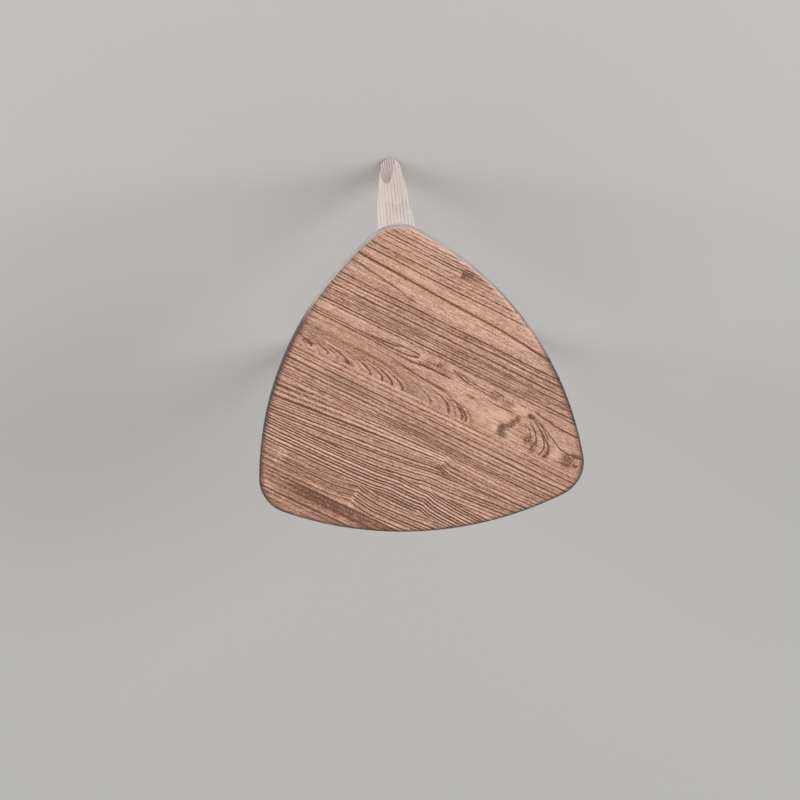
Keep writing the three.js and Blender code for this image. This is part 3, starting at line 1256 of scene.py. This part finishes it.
# %% The nearest arc
arc_tips = [
    (-130, 0), (-111, 0.9), (-104, 0.3), (-94, 0.8), (-84, 0.5), (-73, 0.9), (-60, 0.3), (-50, 1),
    (-44, 0.2), (-38, 0.9), (-33, 0.2), (-28, 1), (-17, 0.8), (-6, 0.1), (4, 0.15), (12, 0.6),
    (21, 0.2), (31, 1), (38, 0.3), (45, 0.95), (49, 0.95), (55, 0.4), (70, 0),
]


def nearest_arc(tree, field):
    """The tip and the strength of the arc nearest to a point, found by numbering the arcs."""
    low, high = arc_tips[0][0], arc_tips[-1][0]
    last = len(arc_tips) - 1
    shares = [i / last for i in range(len(arc_tips))]
    places = [(tip - low) / (high - low) for tip, strength in arc_tips]
    strengths = [strength for tip, strength in arc_tips]
    along = add(tree, "MapRange", {"Value": field, "From Min": low, "From Max": high})
    counter = add(tree, "FloatCurve", {"Value": along})
    set_curve(counter, list(zip(places, shares)))
    number = add(tree, "Math", [counter, last], operation="MULTIPLY")
    nearest = add(tree, "Math", [number], operation="ROUND")
    share = add(tree, "Math", [nearest, last], operation="DIVIDE")
    tip_curve = add(tree, "FloatCurve", {"Value": share})
    set_curve(tip_curve, list(zip(shares, places)))
    tip = add(tree, "MapRange", {"Value": tip_curve, "To Min": low, "To Max": high})
    force = add(tree, "FloatCurve", {"Value": share})
    set_curve(force, list(zip(shares, strengths)))
    return tip, force


print("the figured board has", len(arc_tips), "arcs")

# %% Draw the nested arcs
arc_thickness = 0.95
arc_hook, arc_hook_length = 1.7, 14
arc_length = 110
arc_fade = [(0, 1), (0.1, 1), (0.2, 0.65), (0.5, 0.55), (0.75, 0.35), (1, 0.15)]

# the arcs fade out towards the board's other seam and towards the swirl
back_fade, right_fade = (28, 33), (52, 62)


def nested_arcs(tree, x, ring):
    """Darkness of the figured board's arcs."""
    field, steepness = arc_field(tree, x, ring)
    tip, force = nearest_arc(tree, field)
    offset = add(tree, "Math", [field, tip], operation="SUBTRACT")
    size = add(tree, "Math", [offset], operation="ABSOLUTE")
    distance = add(tree, "Math", [size, steepness], operation="DIVIDE")

    # an arc is thick and dark in the hook at its tip, and fades out far behind it
    behind = add(tree, "Math", [tip, x], operation="SUBTRACT")
    thickness = add(
        tree, "MapRange",
        {"Value": behind, "From Min": 0, "From Max": arc_hook_length, "To Min": arc_hook,
         "To Max": arc_thickness},
    )
    line = add(tree, "MapRange", {"Value": distance, "From Min": thickness, "From Max": 0})
    way = add(tree, "MapRange", {"Value": behind, "From Min": 0, "From Max": arc_length})
    fade = add(tree, "FloatCurve", {"Value": way})
    set_curve(fade, arc_fade)
    shown = add(tree, "Math", [line, fade], operation="MULTIPLY")
    dark = add(tree, "Math", [shown, force], operation="MULTIPLY")
    back_end, right_end = [
        add(
            tree, "MapRange", {"Value": value, "From Min": gone, "From Max": full},
            interpolation_type="SMOOTHSTEP",
        )
        for value, (full, gone) in ((ring, back_fade), (x, right_fade))
    ]
    ended = add(tree, "Math", [dark, back_end], operation="MULTIPLY")
    return add(tree, "Math", [ended, right_end], operation="MULTIPLY")


print("an arc's line is", 2 * arc_hook, "mm wide at its tip and", 2 * arc_thickness, "mm behind it")

# %% Lines drawn along the figured board
# each line is its points, as x, y and strength, and half its width
upper_streaks = [
    ([(-127, 38.7, 0.5), (-65, 38, 0.5), (-45, 36.8, 0.3), (-22, 36.5, 0.8), (-8, 38, 0.8),
      (14, 38.6, 0.3)], 1.3),
    ([(-127, 41.2, 0.4), (-70, 40.6, 0.35), (-45, 39.6, 0.6), (-30, 40.2, 1), (-22, 41.5, 1),
      (-18, 43, 0.9)], 1.3),
    ([(-75, 45.2, 0.15), (-50, 44.9, 0.3), (-35, 45.7, 0.6), (-23, 45.6, 0.7), (-18, 43.2, 0.9)], 1.1),
    ([(-80, 42, 0.2), (-52, 42.3, 0.9), (-44, 43.1, 0.9), (-37, 44.8, 0.3)], 1.3),
    ([(-127, 43.6, 0.7), (-115, 43.5, 0.5), (-95, 43.3, 0.2)], 0.8),
    ([(-127, 25, 0.22), (-95, 24.6, 0.24), (-60, 24.2, 0.26), (-42, 22.8, 0.22), (-30, 19.8, 0.2),
      (-20, 16.5, 0.2), (-12, 13, 0.2)], 2.6),
    ([(-127, 33, 0.3), (-90, 34, 0.35), (-50, 32, 0.45), (-20, 28.5, 0.6), (0, 26, 0.5),
      (20, 25.5, 0.2)], 0.9),
    ([(15, 47, 0.5), (21, 45.4, 0.9), (28, 43, 0.9), (38, 41.4, 0.5), (52, 40.8, 0.3)], 0.8),
    ([(17, 45.4, 0.4), (23, 43.6, 0.8), (30, 41.6, 0.6), (38, 40.9, 0.2)], 0.7),
    ([(20, 47.2, 0.3), (27, 45.6, 0.9), (36, 44, 0.7), (50, 42.8, 0.4), (58, 43.6, 0.3)], 0.8),
    ([(24, 46.8, 0.4), (34, 46, 0.6), (42, 44.8, 0.3)], 0.7),
    ([(46, 46.6, 0.3), (56, 46.2, 0.4), (64, 46, 0.5), (69, 45, 0.9), (70, 42.5, 0.9), (71, 40.8, 0.5)], 1.0),
    ([(40, 40, 0.3), (57, 39.8, 0.5), (66, 39, 0.3)], 0.8),
    ([(57, 35.8, 0.6), (68, 34.8, 1), (76, 34.9, 0.8), (84, 35.5, 0.6)], 0.7),
    ([(77, 48.5, 0.3), (85, 35, 0.35)], 0.8),
    ([(84, 46, 0.3), (88, 45.4, 0.7), (93, 46, 0.3)], 0.9),
    ([(101, 46, 0.4), (107, 44.3, 0.4), (112, 43.4, 0.7), (119, 43, 0.8), (125, 41.6, 0.8),
      (135, 41.2, 0.8), (150, 41, 0.6)], 1.2),
    ([(106, 39, 0.3), (113, 36.8, 0.6), (120, 34, 0.7), (127, 30.5, 0.8), (135, 26.5, 0.8),
      (140, 24.2, 0.8), (147, 22.8, 0.8), (155, 23, 0.7), (164, 24.8, 0.6)], 1.0),
    ([(152, 25.4, 0.3), (157, 25.5, 0.6), (162, 26, 0.5)], 0.8),
    ([(140, 9, 0.2), (144, 11.5, 0.6), (150, 12.3, 0.5), (157, 12.5, 0.3)], 0.9),
]
print("lines drawn along the figured board:", len(upper_streaks))

# %% Lines drawn round the swirl
def round_swirl(points):
    """Points in mm as (angle, distance) about the swirl's centre, in rising order."""
    return sorted(
        (math.atan2(y - swirl_centre[1], x - swirl_centre[0]),
         math.hypot(x - swirl_centre[0], y - swirl_centre[1]), strength)
        for x, y, strength in points
    )


swirl_streaks = [
    ([(105, 39, 0.4), (110, 35, 0.55), (116, 31, 0.7), (122, 27, 0.75), (127, 23.5, 0.75),
      (130, 20, 0.75), (132, 16, 0.7), (131, 12, 0.7), (129, 9, 0.6)], 1.4),
    ([(118, 27.5, 0.4), (122, 25, 0.65), (125, 21, 0.75), (126.5, 17, 0.75), (126, 12, 0.7),
      (124.5, 9, 0.65)], 1.2),
    ([(103, 33, 0.4), (107, 31.5, 0.7), (111, 28.5, 0.8), (114, 25, 0.7), (116.5, 21, 0.6),
      (116.5, 16, 0.4), (115, 11, 0.4)], 1.2),
    ([(99, 30.5, 0.3), (104, 28.5, 0.4), (108, 25, 0.5), (110.5, 21, 0.5), (110.5, 16, 0.4)], 0.9),
    ([(110, 37.5, 0.4), (117, 33.8, 0.6), (123, 29.5, 0.55), (127, 25.5, 0.3)], 1.0),
    ([(91, 33, 0.1), (89, 29, 0.15), (88, 25, 0.2), (85, 22, 0.15), (81.5, 19, 0.15), (80.5, 17, 0.2),
      (81.5, 14, 0.2), (83.5, 12, 0.2), (86, 10.5, 0.1)], 3.6),
]
print("lines drawn round the swirl:", len(swirl_streaks))

# %% Patches of the figured board
boards["07"] = dict(
    ground=0.32, figure=nested_arcs, streaks=upper_streaks,
    swirls=[(round_swirl(points), width) for points, width in swirl_streaks],
    patches=[
        ((-13, 12.5), (10, 5.5), 0.4, 0.14),
        ((-116, 10), (6, 2), 0.6, 0.5),
        ((-73, 9), (5, 2.2), 0.6, 0.5),
        ((2, 45), (2.4, 1.8), 0.7, 0.5),
        ((-11, 38.8), (7, 2), 0.7, 0.4),
        ((2, 41), (14, 6), 0.7, 0.2),
        ((12, 38.5), (6, 1.8), 0.7, 0.4),
        ((42, 31.3), (5, 1.3), 0.7, 0.5),
        ((62, 42.5), (6, 3), 0.8, 0.35),
        ((75.5, 41), (5, 4.5), 0.5, 0.26),
        ((101, 39.7), (3.4, 2), 0.6, 0.75),
        ((91, 31), (2.6, 3.2), 0.8, 0.5),
        ((88.5, 26), (3, 3.4), 0.8, 0.58),
        ((84, 20.5), (4.6, 2.4), 0.8, 0.55),
        ((81.5, 17), (3, 3.4), 0.8, 0.62),
        ((84.5, 12.5), (4.2, 3.2), 0.8, 0.55),
        ((103, 21), (9, 9), 0.7, 0.14),
        ((109, 18), (3.5, 4.5), 0.7, 0.45),
        ((117, 14), (3.2, 6.5), 0.7, 0.5),
        ((131, 13), (2.4, 4.6), 0.7, 0.4),
        ((152, 17), (6, 5.5), 0.7, 0.45),
        ((157, 23.5), (4.5, 1.6), 0.6, 0.4),
        ((161, 15.3), (2.2, 1.5), 0.6, 1),
        ((72, 24), (15, 10), 0.5, -0.14),
        ((90, 41), (8, 4.5), 0.5, -0.2),
        ((139, 18), (6, 8), 0.6, -0.14),
        ((-110, 48), (30, 2.5), 0.5, -0.14),
    ],
    smudges=[((86, 12.5), (4, 3), 0.8, 0.28), ((85, 20), (5, 8), 0.8, 0.16), ((-8, 13), (11, 6), 0.6, 0.25)],
)
print("patches on the figured board:", len(boards["07"]["patches"]))

# %% Give the staves their wood
seed_step = 11.7

# the rings of board 4 run on into this piece, so both take the same seed
shares_rings_with = {"05_a": "04"}

for name, values in boards.items():
    number = int(row_of(shares_rings_with.get(name, name)))
    material = board_wood(name, seed=number * seed_step, **values)
    give(staves["top_stave_" + name], material)
    print(material.name, "has", len(material.node_tree.nodes), "nodes")

# %% [markdown]
# ## Limed wood of the legs
#
# Limed wood has white paste rubbed into it, so it turns a pale greyish pink, and its rings stay a little
# darker. A leg is turned from straight-grained wood, so the rings show as even lines along it, and where
# the lathe cut through them they close into a tongue above the foot. The lines are a sine of the place
# across the leg. The tongue is the inside of a parabola, with closer lines that lean as they rise.

# %% Lines of the legs
line_threshold = 0.3
tongue_middle, tongue_top, tongue_edge = 4, 128, 9
tongue_curvature = 1.2
tongue_spacing, tongue_lean = 2.5, 5

# the tongue fades out towards the inner side, and the wood between its lines darkens towards its tip
tongue_side = 3
filled_from, fullness = 20, 0.7


def even_lines(tree, across, spacing):
    """Dark lines at an even spacing, thinner than the pale wood between them."""
    turns = add(tree, "Math", [across, 2 * math.pi / spacing], operation="MULTIPLY")
    wave = add(tree, "Math", [turns], operation="SINE")
    return add(tree, "MapRange", {"Value": wave, "From Min": line_threshold, "From Max": 1})


def tongue(tree, ring, out, height):
    """How much a point is inside the tongue, and the dark lines in it, which lean as they rise."""
    aside = add(tree, "Math", [ring, tongue_middle], operation="SUBTRACT")
    square = add(tree, "Math", [aside, aside], operation="MULTIPLY")
    level = add(tree, "Math", [square, tongue_curvature, height], operation="MULTIPLY_ADD")
    within = add(
        tree, "MapRange",
        {"Value": level, "From Min": tongue_top + tongue_edge, "From Max": tongue_top - tongue_edge},
    )
    outer = add(tree, "MapRange", {"Value": out, "From Min": 0, "From Max": tongue_side})
    shown = add(tree, "Math", [within, outer], operation="MULTIPLY")
    share = add(tree, "Math", [height, tongue_top], operation="DIVIDE")
    share_square = add(tree, "Math", [share, share], operation="MULTIPLY")
    leaning = add(tree, "Math", [share_square, tongue_lean, ring], operation="MULTIPLY_ADD")
    lines = even_lines(tree, leaning, tongue_spacing)
    filled = add(
        tree, "MapRange",
        {"Value": height, "From Min": filled_from, "From Max": tongue_top, "To Max": fullness},
    )
    fullest = add(tree, "Math", [lines, filled], operation="MAXIMUM")
    return shown, fullest


print("the tongue ends", tongue_top, "mm above the foot")

# %% Limed leg wood
lime_stops = [(0, 0xEDDDD7), (0.3, 0xDFCDC8), (0.6, 0xBCA5A4), (0.85, 0x8A7076), (1, 0x644B56)]
leg_ring_spacing = 3.3
leg_bend_grain, leg_bend_reach = (14, 14, 120), 1.6
leg_jitter_grain, leg_jitter_reach = (3, 3, 14), 0.5
leg_force_grain, leg_force_reach = (4, 4, 50), 0.6
leg_fibre_grain, leg_fibre_reach, leg_fibre_detail = (0.7, 0.7, 8), 0.35, 3
leg_cloud_grain, leg_cloud_reach = (12, 12, 60), 0.2
usual_leg_force = 0.6
leg_ground, leg_line_share = 0.12, 0.62
tongue_ground, tongue_share = 0.12, 0.62
limed_bump, limed_depth, limed_roughness = 0.3, 0.2 * MM, 0.5


def limed_wood(name, middle, outward, seed):
    """Pale limed wood, with its rings along the leg and a tongue on its outward side."""
    material, tree, output = new_material("limed_wood_" + name)
    place = millimetres(tree, Vector((middle.x, middle.y, 0)))
    turn = add(tree, "Mapping", {"Vector": place, "Rotation": (0, 0, -outward)})
    out, across, height = add(tree, "SeparateXYZ", {"Vector": turn}).outputs
    bend = grain_noise(tree, place, leg_bend_grain, seed, leg_bend_reach)
    jitter = grain_noise(tree, place, leg_jitter_grain, seed + 1, leg_jitter_reach)
    ring = total(tree, [across, bend, jitter])

    shown, tongue_dark = tongue(tree, ring, out, height)
    kept = add(tree, "Math", [1, shown], operation="SUBTRACT")
    lines = even_lines(tree, ring, leg_ring_spacing)
    line_part = add(tree, "Math", [lines, kept], operation="MULTIPLY")
    tongue_part = add(tree, "Math", [tongue_dark, shown], operation="MULTIPLY")
    force = grain_noise(tree, place, leg_force_grain, seed + 2, leg_force_reach)
    strength = add(tree, "Math", [force, usual_leg_force], operation="ADD")
    broken = add(tree, "Math", [line_part, strength], operation="MULTIPLY")

    parts = [
        add(tree, "Math", [broken, leg_line_share, leg_ground], operation="MULTIPLY_ADD"),
        add(tree, "Math", [tongue_part, tongue_share], operation="MULTIPLY"),
        add(tree, "Math", [shown, tongue_ground], operation="MULTIPLY"),
        grain_noise(tree, place, leg_fibre_grain, seed + 3, leg_fibre_reach, leg_fibre_detail),
        grain_noise(tree, place, leg_cloud_grain, seed + 4, leg_cloud_reach),
    ]
    darkness = total(tree, parts)
    ramp = add(tree, "ValToRGB", {"Fac": darkness})
    set_ramp(ramp, lime_stops)
    bump = add(
        tree, "Bump", {"Height": darkness, "Strength": limed_bump, "Distance": limed_depth}, invert=True
    )
    shader = add(
        tree, "BsdfPrincipled",
        {"Base Color": ramp, "Roughness": limed_roughness, "Normal": bump, "IOR": lacquer_ior},
    )
    tree.links.new(shader.outputs[0], output.inputs[0])
    return material


print("a leg's rings are", leg_ring_spacing, "mm apart")

# %% Give the legs their wood
first_leg_seed, leg_seed_step = 2, 5.3

for number, corner in enumerate(corner_names):
    seed = number * leg_seed_step + first_leg_seed
    material = limed_wood(corner, box_middle("leg_" + corner), bearings[number], seed)
    give(legs[corner], material)
    print(material.name, "has", len(material.node_tree.nodes), "nodes")

# %% [markdown]
# ## Metal and felt
#
# Machined brass and bright zinc plate are metals, so their colour is in their reflections. Turning marks
# spread those a little. Pressed felt is matt, with matted fibres that catch light at its rim.

# %% Brass and zinc plate
mark_seed, mark_reach = 1, 0.5
roughness_spread = 0.3
mark_bump, mark_depth = 0.15, 0.05 * MM


def metal(name, hex_value, roughness, grain):
    """A turned metal, with fine marks round it."""
    material, tree, output = new_material(name)
    place = millimetres(tree, Vector((0, 0, 0)))
    marks = grain_noise(tree, place, grain, mark_seed, mark_reach)
    rough = add(
        tree, "MapRange",
        {"Value": marks, "From Min": -mark_reach, "From Max": mark_reach,
         "To Min": roughness * (1 - roughness_spread), "To Max": roughness * (1 + roughness_spread)},
    )
    bump = add(tree, "Bump", {"Height": marks, "Strength": mark_bump, "Distance": mark_depth})
    shader = add(
        tree, "BsdfPrincipled",
        {"Base Color": colour(hex_value), "Metallic": 1, "Roughness": rough, "Normal": bump},
    )
    tree.links.new(shader.outputs[0], output.inputs[0])
    return material


brass = metal("machined_brass", hex_value=0xC2A25E, roughness=0.3, grain=(2, 2, 0.15))
zinc = metal("bright_zinc_plate", hex_value=0xBFC3C8, roughness=0.32, grain=(1.5, 1.5, 0.3))
print("metals:", brass.name, "and", zinc.name)

# %% Felt
felt_grain, felt_seed, felt_reach, felt_detail = (0.9, 0.25, 0.5), 3, 0.5, 4
felt_stops = [(0.3, 0x37332F), (0.55, 0x4D4843), (0.75, 0x6A645D)]
felt_bump, felt_depth, felt_roughness = 0.8, 0.2 * MM, 0.95
felt_sheen, felt_sheen_roughness = 0.4, 0.5


def pressed_felt():
    """Dark grey-brown wool felt with fibres about a millimetre long."""
    material, tree, output = new_material("pressed_wool_felt")
    place = millimetres(tree, Vector((0, 0, 0)))
    fibres = grain_noise(tree, place, felt_grain, felt_seed, felt_reach, felt_detail)
    share = add(tree, "Math", [fibres, ramp_middle], operation="ADD")
    ramp = add(tree, "ValToRGB", {"Fac": share})
    set_ramp(ramp, felt_stops)
    bump = add(tree, "Bump", {"Height": fibres, "Strength": felt_bump, "Distance": felt_depth})
    shader = add(
        tree, "BsdfPrincipled",
        {"Base Color": ramp, "Roughness": felt_roughness, "Sheen Weight": felt_sheen,
         "Sheen Roughness": felt_sheen_roughness, "Normal": bump},
    )
    tree.links.new(shader.outputs[0], output.inputs[0])
    return material


felt = pressed_felt()
for pieces, material in ((inserts, brass), (bolts, zinc), (pads, felt)):
    for piece in pieces.values():
        give(piece, material)
    print(material.name, "is on", len(pieces), "pieces")

# %% [markdown]
# ## Floor and light
#
# The floor is plain and pale. Even light from all round shows each colour about as it is written. Two
# broad soft lamps, one beyond the back right side and one beyond the left, put a gleam on the rounded
# rim and shade the legs.

# %% Lay the floor
floor_radius = 6
floor_sides = 96
floor_grey, floor_roughness = 0xB4B3B0, 0.9

deselect_all()
bpy.ops.mesh.primitive_circle_add(
    vertices=floor_sides, radius=floor_radius, fill_type="NGON", location=(0, 0, 0)
)
floor = bpy.context.object
floor.name = "floor"
material, tree, output = new_material("matt_floor_paint")
floor_shader = add(tree, "BsdfPrincipled", {"Base Color": colour(floor_grey), "Roughness": floor_roughness})
tree.links.new(floor_shader.outputs[0], output.inputs[0])
give(floor, material)
print("floor:", 2 * floor_radius, "m across")

# %% Light from all round
soft_strength = 0.635
backdrop_grey = 0xE4E3E1
white = (1, 1, 1, 1)

world = bpy.data.worlds.new("studio")
bpy.context.scene.world = world
world.use_nodes = True
tree = world.node_tree
tree.nodes.clear()
world_output = add(tree, "OutputWorld")
path = add(tree, "LightPath")
seen = add(
    tree, "Math", [path.outputs["Is Camera Ray"], path.outputs["Is Glossy Ray"]],
    operation="MAXIMUM",
)
soft_light = add(tree, "Background", {"Color": white, "Strength": soft_strength})
backdrop = add(tree, "Background", {"Color": colour(backdrop_grey), "Strength": 1})
chosen = add(tree, "MixShader", [seen, soft_light, backdrop])
tree.links.new(chosen.outputs[0], world_output.inputs[0])
print("the world lights the table with a strength of", soft_strength)

# %% Two soft lamps
lamp_distance = 4
lamp_size = 1.8

# each lamp's bearing and elevation in degrees, and its power in watts
lamps = {"right_lamp": (52, 39, 80), "left_lamp": (185, 25, 70)}

for name, (bearing, elevation, power) in lamps.items():
    lamp_data = bpy.data.lights.new(name, "AREA")
    lamp_data.shape = "SQUARE"
    lamp_data.size = lamp_size
    lamp_data.energy = power
    lamp = bpy.data.objects.new(name, lamp_data)
    bpy.context.scene.collection.objects.link(lamp)
    toward_lamp = direction_at(math.radians(bearing), math.radians(elevation))
    lamp.location = UP * face + toward_lamp * lamp_distance
    lamp.rotation_mode = "QUATERNION"
    lamp.rotation_quaternion = (-toward_lamp).to_track_quat("-Z", "Y")
    print(name, "at", tuple(round(value, 2) for value in lamp.location))
bpy.context.scene.view_settings.view_transform = "Standard"

# %% [markdown]
# ## The size
#
# The finished pieces must fill the frame's box and no more.

# %% Update the scene
bpy.context.view_layer.update()
